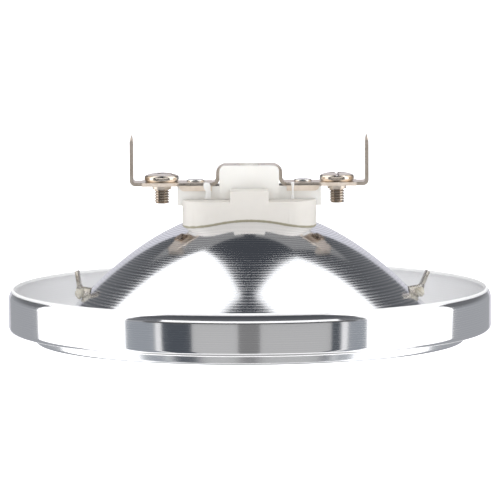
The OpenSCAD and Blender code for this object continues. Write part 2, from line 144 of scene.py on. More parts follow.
class Bench:
    """The modelling operators, each kept to one piece at a time."""

    @staticmethod
    def take(*pieces: Piece) -> Piece:
        """Selects these pieces and nothing else, and makes the first one active."""
        bpy.ops.object.select_all(action="DESELECT")
        for piece in pieces:
            piece.select_set(True)
        bpy.context.view_layer.objects.active = pieces[0]
        return pieces[0]

    @staticmethod
    def edit(piece: Piece) -> None:
        """Starts edit mode on a piece, with all of it selected."""
        Bench.take(piece)
        bpy.ops.object.mode_set(mode="EDIT")
        bpy.ops.mesh.select_all(action="SELECT")

    @staticmethod
    def name(piece: Piece, name: str) -> Piece:
        """Gives a piece and its mesh their name."""
        piece.name = name
        piece.data.name = name
        return piece

    @staticmethod
    def apply_place(piece: Piece) -> None:
        """Moves a piece's place, turn and scale into its mesh."""
        Bench.take(piece)
        bpy.ops.object.transform_apply(location=True, rotation=True, scale=True)

    @staticmethod
    def loop(name: str, points: Iterable[Corner]) -> Piece:
        """Adds a circle with one vertex for each point, and moves its vertices to the points.

        Args:
            name: the piece's name.
            points: the outline's points, in millimetres.

        Returns:
            The new piece.
        """
        places = [Vector(p) * MM for p in points]
        bpy.ops.object.select_all(action="DESELECT")
        bpy.ops.mesh.primitive_circle_add(vertices=len(places), fill_type="NOTHING")
        piece = Bench.name(bpy.context.active_object, name)
        for vertex, place in zip(piece.data.vertices, places):
            vertex.co = place
        return piece

    @staticmethod
    def clean(piece: Piece, smooth_deg: float = 35.0, merge_mm: float = 0.002) -> Piece:
        """Merges doubles, drops what is loose, turns every face outwards and smooths the shading.

        Args:
            piece: the piece to clean.
            smooth_deg: edges sharper than this stay sharp.
            merge_mm: vertices nearer than this become one.

        Returns:
            The same piece.
        """
        Bench.edit(piece)
        bpy.ops.mesh.remove_doubles(threshold=merge_mm * MM)
        bpy.ops.mesh.dissolve_degenerate(threshold=merge_mm * MM / 4)
        bpy.ops.mesh.delete_loose(use_verts=True, use_edges=True, use_faces=False)
        bpy.ops.mesh.select_all(action="SELECT")
        bpy.ops.mesh.normals_make_consistent(inside=False)
        bpy.ops.object.mode_set(mode="OBJECT")
        bpy.ops.object.shade_smooth_by_angle(angle=math.radians(smooth_deg))
        return piece

    @staticmethod
    def flatten_shading(piece: Piece) -> Piece:
        """Lets the big faces keep their own normals, so that only the bevels between them look round."""
        return Bench.apply(piece, "WEIGHTED_NORMAL", keep_sharp=True, weight=100)

    @staticmethod
    def lathe(name: str, outline: Sequence[Point], steps: int, smooth_deg: float = 35.0) -> Piece:
        """Spins a closed outline of radii and heights once round the upright axis.

        Args:
            name: the piece's name.
            outline: the outline's points, as radius and height in millimetres.
            steps: how many faces go round.
            smooth_deg: edges sharper than this stay sharp.

        Returns:
            The new piece.
        """
        piece = Bench.loop(name, [(r, 0.0, z) for r, z in outline])
        Bench.edit(piece)
        bpy.ops.mesh.spin(steps=steps, angle=math.tau, use_auto_merge=True, center=(0, 0, 0), axis=(0, 0, 1))
        bpy.ops.object.mode_set(mode="OBJECT")
        return Bench.clean(piece, smooth_deg)

    @staticmethod
    def wind(piece: Piece, rise_mm: float, turns: int, steps: int, **settings: object) -> None:
        """Winds an outline round the upright axis like a screw, and closes both its ends.

        Args:
            piece: the outline, which becomes the wound piece.
            rise_mm: how far one turn rises.
            turns: how many turns there are.
            steps: how many faces go round one turn.
            **settings: more of the screw modifier's settings.
        """
        Bench.apply(
            piece, "SCREW", axis="Z", angle=math.tau, screw_offset=rise_mm * MM, iterations=turns,
            steps=steps, render_steps=steps, **settings,
        )
        Bench.take(piece)
        bpy.ops.object.mode_set(mode="EDIT")
        bpy.ops.mesh.select_all(action="DESELECT")
        bpy.ops.mesh.select_mode(type="EDGE")
        bpy.ops.mesh.select_non_manifold()
        bpy.ops.mesh.edge_face_add()
        bpy.ops.object.mode_set(mode="OBJECT")

    @staticmethod
    def block(name: str, low: Vector, high: Vector) -> Piece:
        """Adds a block between two corners.

        Args:
            name: the piece's name.
            low: its lowest corner, in millimetres.
            high: its highest corner, in millimetres.

        Returns:
            The new piece, with its place in its mesh.
        """
        low, high = Vector(low) * MM, Vector(high) * MM
        bpy.ops.object.select_all(action="DESELECT")
        bpy.ops.mesh.primitive_cube_add(size=1, location=(low + high) / 2, scale=high - low)
        piece = Bench.name(bpy.context.active_object, name)
        Bench.apply_place(piece)
        return piece

    @staticmethod
    def apply(piece: Piece, kind: str, **settings: object) -> Piece:
        """Adds one modifier, sets it and applies it.

        Args:
            piece: the piece that gets the modifier.
            kind: the modifier's type.
            **settings: the modifier's settings.

        Returns:
            The same piece.
        """
        Bench.take(piece)
        modifier = piece.modifiers.new(kind.title(), kind)
        for key, value in settings.items():
            setattr(modifier, key, value)
        bpy.ops.object.modifier_apply(modifier=modifier.name)
        return piece

    @staticmethod
    def soften(piece: Piece, width_mm: float, segments: int = 3, angle_deg: float = 35.0) -> None:
        """Bevels every edge that is sharper than an angle.

        Args:
            piece: the piece to soften.
            width_mm: the bevel's width.
            segments: how many faces go across the bevel.
            angle_deg: the least angle that is bevelled.
        """
        Bench.apply(
            piece,
            "BEVEL",
            width=width_mm * MM,
            segments=segments,
            limit_method="ANGLE",
            angle_limit=math.radians(angle_deg),
            miter_outer="MITER_ARC",
        )

    @staticmethod
    def soften_where(piece: Piece, width_mm: float, chosen: Callable[[Vector], bool],
                     segments: int = 3) -> None:
        """Bevels the sharp edges whose middles are chosen.

        Args:
            piece: the piece to soften.
            width_mm: the bevel's width.
            chosen: says of an edge's middle, in millimetres, whether it is bevelled.
            segments: how many faces go across the bevel.
        """
        Bench.take(piece)
        bpy.ops.object.mode_set(mode="EDIT")
        bpy.ops.mesh.select_mode(type="EDGE")
        bpy.ops.mesh.select_all(action="DESELECT")
        bpy.ops.mesh.edges_select_sharp(sharpness=math.radians(35))
        bpy.ops.object.mode_set(mode="OBJECT")
        places = piece.data.vertices
        for edge in piece.data.edges:
            middle = (places[edge.vertices[0]].co + places[edge.vertices[1]].co) / 2 / MM
            edge.select = edge.select and chosen(middle)
        bpy.ops.object.mode_set(mode="EDIT")
        bpy.ops.mesh.bevel(offset=width_mm * MM, segments=segments, affect="EDGES", clamp_overlap=True)
        bpy.ops.object.mode_set(mode="OBJECT")

    @staticmethod
    def cut(piece: Piece, *tools: Piece) -> Piece:
        """Takes each tool's shape out of a piece, and throws the tool away."""
        for tool in tools:
            Bench.apply(piece, "BOOLEAN", operation="DIFFERENCE", solver="EXACT", object=tool)
            bpy.data.objects.remove(tool)
        return piece

    @staticmethod
    def join(first: Piece, *others: Piece) -> Piece:
        """Joins pieces into the first one."""
        Bench.take(first, *others)
        bpy.ops.object.join()
        return first

    @staticmethod
    def copy_of_node(node: str, name: str) -> Piece:
        """Copies a CAD node's mesh into a new piece, and makes one closed surface of it.

        Args:
            node: the CAD node's name.
            name: the new piece's name.

        Returns:
            The new piece, with flat areas as single faces.
        """
        source = bpy.data.objects[node]
        piece = bpy.data.objects.new(name, source.data.copy())
        bpy.context.scene.collection.objects.link(piece)
        piece.data.materials.clear()
        Bench.edit(piece)
        bpy.ops.mesh.remove_doubles(threshold=0.002 * MM)
        bpy.ops.mesh.dissolve_limited(angle_limit=math.radians(0.5))
        bpy.ops.object.mode_set(mode="OBJECT")
        return piece


# ---------------------------------------------------------------- finishes


class Graph:
    """A material's node tree, with short ways to add nodes and join them."""

    def __init__(self, name: str) -> None:
        """Starts a new material with a principled shader."""
        self.material = bpy.data.materials.new(name)
        self.material.use_nodes = True
        self.tree = self.material.node_tree
        self.shader = self.tree.nodes["Principled BSDF"]

    def add(self, kind: str, inputs: Optional[dict[object, object]] = None,
            **settings: object) -> bpy.types.Node:
        """Adds a node.

        Args:
            kind: the node's type, without its ShaderNode prefix.
            inputs: values or sockets for its inputs, by the input's name or number.
            **settings: the node's own settings.

        Returns:
            The new node.
        """
        node = self.tree.nodes.new("ShaderNode" + kind)
        for key, value in settings.items():
            setattr(node, key, value)
        for key, value in (inputs or {}).items():
            if isinstance(value, Socket):
                self.tree.links.new(value, node.inputs[key])
            else:
                node.inputs[key].default_value = value
        return node

    def maths(self, operation: str, *values: object) -> Socket:
        """Adds a math node and returns its result."""
        return self.add("Math", dict(enumerate(values)), operation=operation).outputs[0]

    def place(self) -> Socket:
        """The point on the piece, in its own coordinates."""
        return self.add("TexCoord").outputs["Object"]

    def radius_and_height(self) -> tuple[Socket, Socket]:
        """The distance from the upright axis, and the height, of the point on the piece."""
        split = self.add("SeparateXYZ", {0: self.place()})
        squares = [self.maths("POWER", split.outputs[axis], 2.0) for axis in (0, 1)]
        return self.maths("SQRT", self.maths("ADD", *squares)), split.outputs[2]

    def noise(self, scale: float, detail: float = 2.0, roughness: float = 0.5) -> Socket:
        """A noise over the piece, with a scale in features per metre."""
        inputs = {"Vector": self.place(), "Scale": scale, "Detail": detail, "Roughness": roughness}
        return self.add("TexNoise", inputs).outputs["Fac"]

    def lines(self, along: Socket, pitch_mm: float,
              detail: float = 2.0) -> Socket:
        """Uneven lines that follow one coordinate."""
        turns = self.maths("MULTIPLY", along, 1000.0 / pitch_mm)
        node = self.add("TexNoise", {"W": turns, "Scale": 1.0, "Detail": detail}, noise_dimensions="1D")
        return node.outputs["Fac"]

    def grooves(self, along: Socket, pitch_mm: float) -> Socket:
        """Tool marks at a steady pitch, some deeper than others.

        Args:
            along: the coordinate that the marks follow, in metres.
            pitch_mm: the distance from one mark to the next.

        Returns:
            The marks' height, from 0 to 1.
        """
        drift = self.maths("MULTIPLY", self.lines(along, pitch_mm * 4), 5.0)
        turned = self.maths("MULTIPLY", along, math.tau * 1000 / pitch_mm)
        wave = self.maths("SINE", self.maths("ADD", turned, drift))
        depth = self.span(self.lines(along, pitch_mm * 1.7), 0.1, 0.9)
        return self.maths("ADD", self.maths("MULTIPLY", wave, self.maths("MULTIPLY", depth, 0.7)), 0.5)

    def blend(self, share: Socket, first: Colour, second: Colour) -> Socket:
        """A mottle of two colours.

        Args:
            share: the noise, whose middle stretch goes from one colour to the other.
            first: the colour of the noise's low parts.
            second: the colour of its high parts.

        Returns:
            The mottled colour.
        """
        ramp = self.add("ValToRGB", {"Fac": share})
        ramp.color_ramp.elements[0].position = 0.3
        ramp.color_ramp.elements[1].position = 0.7
        ramp.color_ramp.elements[0].color = (*first, 1.0)
        ramp.color_ramp.elements[1].color = (*second, 1.0)
        return ramp.outputs["Color"]

    def mixed(self, share: Socket, first: object, second: object) -> Socket:
        """A colour between two.

        Args:
            share: how much of the second there is, from 0 to 1.
            first: a colour or a socket.
            second: a colour or a socket.

        Returns:
            The mixed colour.
        """
        node = self.add("Mix", data_type="RGBA")
        self.tree.links.new(share, node.inputs["Factor"])
        for name, colour in (("A", first), ("B", second)):
            socket = next(s for s in node.inputs if s.name == name and s.type == "RGBA")
            if isinstance(colour, Socket):
                self.tree.links.new(colour, socket)
            else:
                socket.default_value = (*colour, 1.0)
        return next(s for s in node.outputs if s.type == "RGBA")

    def span(self, share: Socket, low: float, high: float) -> Socket:
        """A number between two, by a share from 0 to 1."""
        return self.add("MapRange", {"Value": share, "To Min": low, "To Max": high}).outputs["Result"]

    def ramp(self, distance: Socket, ends_mm: Point, values: Point) -> Socket:
        """A number that goes from one value to another over a stretch of a distance.

        Args:
            distance: the distance, in metres.
            ends_mm: where the stretch starts and ends.
            values: the number before the stretch and after it.

        Returns:
            The number.
        """
        low, high = (end * MM for end in ends_mm)
        ends = {"From Min": low, "From Max": high, "To Min": values[0], "To Max": values[1]}
        return self.add("MapRange", {"Value": distance, **ends}).outputs["Result"]

    def bump(self, height: Socket, depth_mm: float, strength: float = 1.0,
             under: Optional[Socket] = None) -> Socket:
        """A bumped normal, laid over another one where that is given."""
        inputs: dict[str, object] = {"Height": height, "Distance": depth_mm * MM, "Strength": strength}
        if under is not None:
            inputs["Normal"] = under
        return self.add("Bump", inputs).outputs["Normal"]

    def set(self, **inputs: object) -> bpy.types.Material:
        """Sets or joins the shader's inputs, whose names have _ for a space, and returns the material."""
        for key, value in inputs.items():
            socket = self.shader.inputs[key.replace("_", " ")]
            if isinstance(value, Socket):
                self.tree.links.new(value, socket)
            else:
                socket.default_value = value
        return self.material


class Grain(Enum):
    """Which way a metal's fine lines run."""

    ROUND_THE_AXIS = "round"
    LEVEL = "level"


@dataclass(frozen=True)
class LinedMetal:
    """Bright metal with the fine lines of its spinning or rolling."""

    name: str
    colour: Colour
    # The darker colour painted into the groove troughs, as shade.
    painted_groove_shade: Colour
    roughness: float
    grain: Grain
    pitch_mm: float
    depth_mm: float
    ripple_mm: float = 0.0
    contrast: float = 0.3
    # Inside this radius the metal is satin, and also painted white as a sheen.
    satin_and_sheen_inside_mm: float = 0.0
    clear_inside_mm: float = 0.0

    def make(self) -> bpy.types.Material:
        """Builds the material."""
        graph = Graph(self.name)
        radius, height = graph.radius_and_height()
        if self.grain is Grain.ROUND_THE_AXIS:
            along = radius
        else:
            along = graph.maths("ADD", height, graph.maths("MULTIPLY", radius, 0.6))
        coarse = graph.grooves(along, self.pitch_mm)
        fine = graph.lines(along, self.pitch_mm / 5, detail=1.0)
        normal = graph.bump(fine, self.depth_mm / 6)
        normal = graph.bump(coarse, self.depth_mm, under=normal)
        if self.ripple_mm:
            normal = graph.bump(graph.noise(120.0, detail=1.0), self.ripple_mm, under=normal)
        rough = graph.span(coarse, self.roughness * (1 - self.contrast), self.roughness * (1 + self.contrast))
        rough = graph.maths("MULTIPLY", rough, graph.span(fine, 0.8, 1.2))
        metal: object = 1.0
        # Painted shade: the groove troughs take the darker colour, so the spin lines show darker where they
        # dip.
        colour = graph.blend(coarse, self.painted_groove_shade, self.colour)
        if self.clear_inside_mm:
            clear = graph.ramp(radius, (self.clear_inside_mm - 6, self.clear_inside_mm), (0.6, 1.0))
            rough = graph.maths("MULTIPLY", rough, clear)
        # The inner zone is rougher, which is the satin finish. Its colour is also pushed to white with less
        # metal, which is a painted sheen that brightens the inner wall.
        if self.satin_and_sheen_inside_mm:
            inside = graph.ramp(radius, (self.satin_and_sheen_inside_mm - 0.35, self.satin_and_sheen_inside_mm), (0.9, 0.0))
            rough = graph.maths("ADD", rough, inside)
            metal = graph.maths("SUBTRACT", 1.0, inside)
            colour = graph.mixed(inside, colour, (1.0, 1.0, 1.0))
        return graph.set(Base_Color=colour, Metallic=metal, Roughness=rough, Normal=normal)


@dataclass(frozen=True)
class PlatedMetal:
    """Nickel plate, with a warm tarnish in patches and fine handling marks."""

    name: str
    colour: Colour
    tarnish: Colour
    roughness: float
    mark_mm: float = 0.004
    satin_beyond_mm: float = 0.0
    axis_out_mm: float = 0.0

    def make(self) -> bpy.types.Material:
        """Builds the material."""
        graph = Graph(self.name)
        patches = graph.noise(420.0, detail=4.0, roughness=0.6)
        marks = graph.noise(2600.0, detail=3.0, roughness=0.7)
        normal = graph.bump(marks, self.mark_mm, strength=0.6)
        normal = graph.bump(graph.noise(350.0), self.mark_mm * 6, strength=0.5, under=normal)
        colour = graph.blend(patches, self.tarnish, self.colour)
        rough = graph.span(marks, self.roughness * 0.6, self.roughness * 1.5)
        metal: object = 1.0
        if self.satin_beyond_mm:
            satin = self.satin(graph)
            rough = graph.maths("ADD", rough, graph.maths("MULTIPLY", satin, 0.3))
            metal = graph.maths("SUBTRACT", 1.0, graph.maths("MULTIPLY", satin, 0.6))
        # Painted shade: the roots of the screw's thread are darkened towards brown.
        if self.axis_out_mm:
            colour = self.with_painted_root_shade(graph, colour)
        return graph.set(Base_Color=colour, Metallic=metal, Roughness=rough, Normal=normal)

    def satin(self, graph: Graph) -> Socket:
        """How dull the plate is: 1 on the faces beyond a distance from the middle, 0 between them."""
        depth = graph.maths("ABSOLUTE", graph.add("SeparateXYZ", {0: graph.place()}).outputs[1])
        return graph.ramp(depth, (self.satin_beyond_mm - 0.02, self.satin_beyond_mm), (0.0, 1.0))

    def with_painted_root_shade(self, graph: Graph, colour: Socket) -> Socket:
        """Paints shade into the roots of an upright thread that stands at a distance from the middle.

        Args:
            graph: the material's nodes.
            colour: the clean colour.

        Returns:
            The colour with painted shade in the roots.
        """
        split = graph.add("SeparateXYZ", {0: graph.place()})
        aside = graph.maths("SUBTRACT", graph.maths("ABSOLUTE", split.outputs[0]), self.axis_out_mm * MM)
        squares = [graph.maths("POWER", aside, 2.0), graph.maths("POWER", split.outputs[1], 2.0)]
        out = graph.maths("SQRT", graph.maths("ADD", *squares))
        # The dark brown is the painted shade in the thread's roots.
        return graph.mixed(graph.ramp(out, (1.42, 2.0), (0.2, 1.0)), (0.22, 0.15, 0.10), colour)


@dataclass(frozen=True)
class Ceramic:
    """Pressed steatite: dense, matt to slightly shiny, with a fine mottle and small pits."""

    name: str
    colour: Colour
    mottle: Colour
    roughness: float
    pit_mm: float
    coat: float = 0.0
    # The colour of the painted contact shadow on the foot, where the piece sits on the dish; none if not
    # given.
    painted_contact_shade: Optional[Colour] = None
    slot: str = ""

    def make(self) -> bpy.types.Material:
        """Builds the material."""
        graph = Graph(self.name)
        cloud = graph.noise(260.0, detail=5.0, roughness=0.6)
        pits = graph.noise(3800.0, detail=3.0, roughness=0.65)
        swell = graph.noise(500.0, detail=1.0)
        normal = graph.bump(pits, self.pit_mm, strength=0.7)
        normal = graph.bump(swell, self.pit_mm * 4, strength=0.5, under=normal)
        colour = graph.blend(cloud, self.mottle, self.colour)
        # Painted shade: a thin dark band on the foot, up to about 0.24 mm above the dish's back face, stands
        # in for the contact shadow where the ceramic sits on the dish.
        if self.painted_contact_shade:
            dish = Reflector()
            radius, height = graph.radius_and_height()
            drop = graph.maths("MULTIPLY", graph.maths("POWER", radius, 2.0), 1 / (4 * dish.back_focal * MM))
            above = graph.maths("SUBTRACT", graph.maths("ADD", height, drop), (dish.apex + dish.sheet) * MM)
            uneven = graph.maths("ADD", above, graph.maths("MULTIPLY", graph.noise(900.0), -0.3 * MM))
            colour = graph.mixed(graph.ramp(uneven, (0.08, 0.24), (0.9, 0.0)), colour, self.painted_contact_shade)
        return graph.set(
            Base_Color=colour,
            Roughness=graph.span(pits, self.roughness * 0.85, self.roughness * 1.15),
            Normal=normal,
            Subsurface_Weight=0.12,
            Subsurface_Radius=(1.0, 0.9, 0.75),
            Subsurface_Scale=0.8 * MM,
            Coat_Weight=self.coat,
            Coat_Roughness=0.2,
        )


@dataclass(frozen=True)
class Quartz:
    """Clear fused quartz, with the faint waves of a blown bulb."""

    name: str

    def make(self) -> bpy.types.Material:
        """Builds the material."""
        graph = Graph(self.name)
        waves = graph.bump(graph.noise(180.0, detail=1.0), 0.02, strength=0.5)
        tint = graph.blend(graph.noise(90.0), (0.97, 0.985, 0.99), (1.0, 1.0, 1.0))
        return graph.set(Base_Color=tint, Roughness=0.015, IOR=1.46, Transmission_Weight=1.0, Normal=waves)


SPUN = LinedMetal("spun_aluminium", (0.93, 0.935, 0.955), (0.74, 0.75, 0.78), 0.15,
                  Grain.ROUND_THE_AXIS, 0.62, 0.00022, contrast=0.4, clear_inside_mm=27.0)
# The rim band's inner wall is satin, with a painted white sheen.
RIM = LinedMetal("rim_aluminium", (0.93, 0.93, 0.945), (0.89, 0.89, 0.91), 0.09,
                 Grain.LEVEL, 0.5, 0.0006, ripple_mm=0.006, satin_and_sheen_inside_mm=54.95)
CAP = LinedMetal("cap_aluminium", (0.86, 0.87, 0.88), (0.80, 0.81, 0.83), 0.26,
                 Grain.ROUND_THE_AXIS, 0.5, 0.004)
ARM = PlatedMetal("arm_steel", (0.86, 0.82, 0.75), (0.60, 0.54, 0.46), 0.24)
SPRING = PlatedMetal("spring_steel", (0.68, 0.67, 0.65), (0.52, 0.50, 0.47), 0.2)
STRIP = PlatedMetal("nickel_strip", (0.88, 0.79, 0.70), (0.72, 0.62, 0.52), 0.30, 0.0015,
                    satin_beyond_mm=4.29)
RIVET = PlatedMetal("nickel_rivet", (0.90, 0.88, 0.85), (0.78, 0.75, 0.70), 0.2, 0.0015)
# The screws get painted shade in their thread roots.
SCREW = PlatedMetal("plated_screw", (0.93, 0.87, 0.79), (0.74, 0.64, 0.54), 0.12, 0.0015, axis_out_mm=20.1)
MOLYBDENUM = PlatedMetal("molybdenum", (0.52, 0.52, 0.54), (0.40, 0.40, 0.42), 0.3)
TUNGSTEN = PlatedMetal("tungsten", (0.34, 0.34, 0.36), (0.24, 0.24, 0.26), 0.38)
WHITE = Ceramic("white_ceramic", (0.86, 0.85, 0.82), (0.835, 0.825, 0.795), 0.42, 0.003)
# The cream body has a painted contact shadow along its foot.
CREAM = Ceramic("cream_ceramic", (0.75, 0.72, 0.675), (0.725, 0.695, 0.65), 0.45, 0.003,
                painted_contact_shade=(0.30, 0.27, 0.17))
BEAD = Ceramic("old_cement", (0.93, 0.90, 0.81), (0.60, 0.54, 0.42), 0.3, 0.03, coat=0.4, slot="cement")
CEMENT = Ceramic("cement", (0.88, 0.875, 0.86), (0.80, 0.795, 0.78), 0.15, 0.008, coat=0.8)
QUARTZ = Quartz("quartz")


class Dresser:
    """Makes each finish once, puts it on pieces, and rides them on their bodies."""

    def __init__(self) -> None:
        """Starts with no material made."""
        self.made: dict[str, bpy.types.Material] = {}

    def dress(self, piece: Piece, finish: object, body: str = BODY,
              *replaced: str) -> Piece:
        """Gives a new piece its finish and its body, and reports it.

        Args:
            piece: the new piece, finished and in place.
            finish: the finish that it gets.
            body: the body that it rides on.
            *replaced: the CAD nodes that it stands for.

        Returns:
            The same piece.
        """
        self.coat(piece, finish)
        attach(piece, body)
        if replaced:
            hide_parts(*replaced)
        getattr(finish, "slot", "") or finish.name
        LOG.info("%s: %d faces, %s, on %s", piece.name, len(piece.data.polygons), finish.name, body)
        return piece

    def coat(self, piece: Piece, finish: object) -> None:
        """Puts a finish on a piece or a CAD node."""
        if finish.name not in self.made:
            self.made[finish.name] = finish.make()
        piece.data.materials.clear()
        piece.data.materials.append(self.made[finish.name])


# ---------------------------------------------------------------- the lamp


@dataclass
class Reflector:
    """The spun dish with its lip, its rolled band and the ring in its neck. Sizes in millimetres."""

    apex: float = 29.5
    sheet: float = 0.8
    focal: float = 18.0
    back_focal: float = 18.25
    neck: float = 8.5
    lip: float = 49.5
    hem: float = 51.0
    step: float = 2.5
    slot_width: float = 0.9
    slot_ends: Point = (34.0, 41.0)
    slot_heights: Point = (9.6, 12.8)
    joint: float = 0.02
    foot_round: float = 1.25
    shoulder_radius: float = 3.12
    crest_deg: float = 52.0
    round_steps: int = 256

    def front_height(self, radius: float) -> float:
        """The height of the polished face at a radius."""
        return self.apex - radius**2 / (4 * self.focal)

    def back_height(self, radius: float) -> float:
        """The height of the back face at a radius."""
        return self.apex + self.sheet - radius**2 / (4 * self.back_focal)

    def dish(self) -> Piece:
        """Spins the dish, and cuts the two slots for the glare cap's arms."""
        edge = math.sqrt(self.apex * 4 * self.focal)
        back_edge = math.sqrt(self.apex * 4 * self.back_focal)
        wall = self.lip - self.sheet
        ledge = self.step + self.sheet
        corners = curve(self.front_height, self.neck, edge - 0.6, 64)
        corners += [(edge, 0.0, 0.5), (self.lip, 0.0, 0.7), (self.lip, ledge, 0.0)]
        corners += [(self.hem, ledge, 0.2), (self.hem, ledge + 0.7, 0.3), (wall, ledge + 0.7, 0.3)]
        corners += [(wall, self.sheet, 0.5)]
        corners += curve(self.back_height, back_edge, self.neck, 64)
        piece = Bench.lathe("dish_shell", fillet(corners, 4), self.round_steps)
        slots = [self.slot_tool(side) for side in (-1, 1)]
        Bench.cut(piece, *slots)
        return Bench.clean(piece, 30.0)

    def slot_tool(self, side: int) -> Piece:
        """The upright block that cuts one arm's slot."""
        near, far = sorted(side * end for end in self.slot_ends)
        half = self.slot_width / 2
        low, high = self.slot_heights
        return Bench.block("slot_tool", (near, -half, low), (far, half, high))

    def band(self) -> Piece:
        """Spins the rim band, with its rolled edges."""
        low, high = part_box("rim_band")
        rim, top, bottom = high.x / MM, high.z / MM, low.z / MM
        inner = rim - self.sheet
        crest = self.shoulder_radius * math.sin(math.radians(self.crest_deg))
        shoulder = (rim - self.shoulder_radius, top - crest)
        outside = arc(shoulder, self.shoulder_radius, 0, self.crest_deg, 14)
        inside = arc(shoulder, self.shoulder_radius - self.sheet, self.crest_deg, 0, 14)
        seat = self.lip + self.joint
        corners = [(seat, bottom, 0.1), (rim, bottom, self.foot_round)]
        corners += outside[:-1] + [(*outside[-1][:2], 0.3), (*inside[0][:2], 0.3)] + inside[1:]
        corners += [(inner, bottom + self.sheet, 0.6), (seat, bottom + self.sheet, 0.1)]
        return Bench.lathe("rim_band_rolled", fillet(corners, 8), self.round_steps, 50.0)

    def build(self, dresser: Dresser) -> None:
        """Builds and dresses the reflector's pieces."""
        dresser.dress(self.dish(), SPUN, BODY, "reflector_dish")
        dresser.dress(self.band(), RIM, BODY, "rim_band")
        ring = Bench.copy_of_node("neck_retainer", "neck_ring")
        dresser.dress(Bench.clean(ring, 25.0), SPRING, BODY, "neck_retainer")


@dataclass
class Base:
    """The two ceramic parts and the cement. Sizes in millimetres."""

    body_edge: float = 0.5
    block_edge: float = 0.3
    seam_top: float = 31.2
    bead_out: float = 39.15
    bead_front: float = 0.35
    bead_high: float = 11.1
    bead_size: Corner = (2.1, 1.9, 2.7)

    def body(self) -> Piece:
        """Copies the socket body and rounds all its edges but the ones at the dish."""
        piece = Bench.copy_of_node("socket_body", "socket_body_pressed")
        Bench.soften_where(piece, self.body_edge, lambda spot: spot.z > self.seam_top, 4)
        return Bench.flatten_shading(Bench.clean(piece, 40.0, 0.001))

    def block(self) -> Piece:
        """Copies the terminal block and rounds its outer edges."""
        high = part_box("terminal_block")[1]
        side, face = high.x / MM - 0.05, high.y / MM - 0.05
        piece = Bench.copy_of_node("terminal_block", "terminal_block_pressed")
        Bench.soften_where(piece, self.block_edge, lambda spot: abs(spot.y) > face or abs(spot.x) > side)
        return Bench.flatten_shading(Bench.clean(piece, 40.0, 0.001))

    def run(self, node: str, name: str, waists: Sequence[tuple[float, float, float]]) -> Piece:
        """A glossy, lumpy run of cement in the space of its node.

        Args:
            node: the CAD node whose box it fills.
            name: the new piece's name.
            waists: rows from the foot to the top, each with its height, its half width and its sideways
                shift, as shares of the node's height and half width.

        Returns:
            The new piece.
        """
        low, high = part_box(node)
        middle, half = (low + high) / 2, (high - low) / 2
        bpy.ops.object.select_all(action="DESELECT")
        bpy.ops.mesh.primitive_uv_sphere_add(segments=32, ring_count=40, radius=1.0)
        piece = Bench.name(bpy.context.active_object, name)
        for vertex in piece.data.vertices:
            x, y, z = vertex.co
            share = math.acos(max(-1.0, min(1.0, -z))) / math.pi
            ring = math.hypot(x, y) or 1.0
            width, shift = self.waist(waists, share)
            lump = 1 + 0.05 * math.sin(9.0 * share + 3.0 * math.atan2(y, x))
            vertex.co = (
                middle.x + half.x * max(-1.0, min(1.0, x / ring * width * lump + shift)) * (ring > 1e-4),
                middle.y + half.y * y / ring * width * 0.98 * (ring > 1e-4),
                low.z + 2 * half.z * share,
            )
        return Bench.clean(piece, 80.0)

    @staticmethod
    def waist(waists: Sequence[tuple[float, float, float]], share: float) -> tuple[float, float]:
        """The half width and the shift at a height, eased between the two nearest rows.

        Args:
            waists: the rows, each with its height, half width and shift.
            share: the height, from 0 at the foot to 1 at the top.

        Returns:
            The half width and the shift, as shares of the half width.
        """
        for (low, *below), (high, *above) in zip(waists, waists[1:]):
            if share <= high:
                ease = (share - low) / (high - low)
                ease = ease * ease * (3 - 2 * ease)
                return tuple(a + (b - a) * ease for a, b in zip(below, above))
        return tuple(waists[-1][1:])

    def bead(self, side: str) -> Piece:
        """A rough bead of cement where an arm leaves its slot in the dish.

        Args:
            side: left or right.

        Returns:
            The new piece.
        """
        sign = -1 if side == "left" else 1
        place = Vector((sign * self.bead_out, -self.bead_front, self.bead_high)) * MM
        bpy.ops.object.select_all(action="DESELECT")
        bpy.ops.mesh.primitive_ico_sphere_add(subdivisions=4, radius=1.0)
        piece = Bench.name(bpy.context.active_object, side + "_slot_cement")
        for vertex in piece.data.vertices:
            x, y, z = vertex.co
            lump = 1 + 0.13 * math.sin(5 * x + 3 * z + sign) * math.cos(6 * z + 2 * y)
            lump += 0.07 * math.sin(13 * z + 9 * x)
            half = Vector(self.bead_size) / 2
            vertex.co = place + Vector((x * half.x, y * half.y, z * half.z)) * lump * MM
        return Bench.clean(piece, 80.0)

    def build(self, dresser: Dresser) -> None:
        """Builds and dresses the base's pieces."""
        dresser.dress(self.body(), CREAM, BODY, "socket_body")
        dresser.dress(self.block(), WHITE, BODY, "terminal_block")
        blob = ((0.0, 0.5, -0.1), (0.12, 0.75, 0.05), (0.45, 0.6, 0.25), (0.75, 0.85, -0.1), (1.0, 0.7, -0.2))
        strand = ((0.0, 0.9, 0.0), (0.1, 0.85, 0.0), (0.3, 0.4, 0.1), (0.7, 0.5, 0.2), (1.0, 0.9, 0.0))
        for side, waists in (("left", blob), ("right", strand)):
            node = side + "_cement_dab"
            dresser.dress(self.run(node, side + "_cement_run", waists), CEMENT, BODY, node)
            dresser.dress(self.bead(side), BEAD)
        dresser.coat(bpy.data.objects["capsule_cement"], CEMENT)


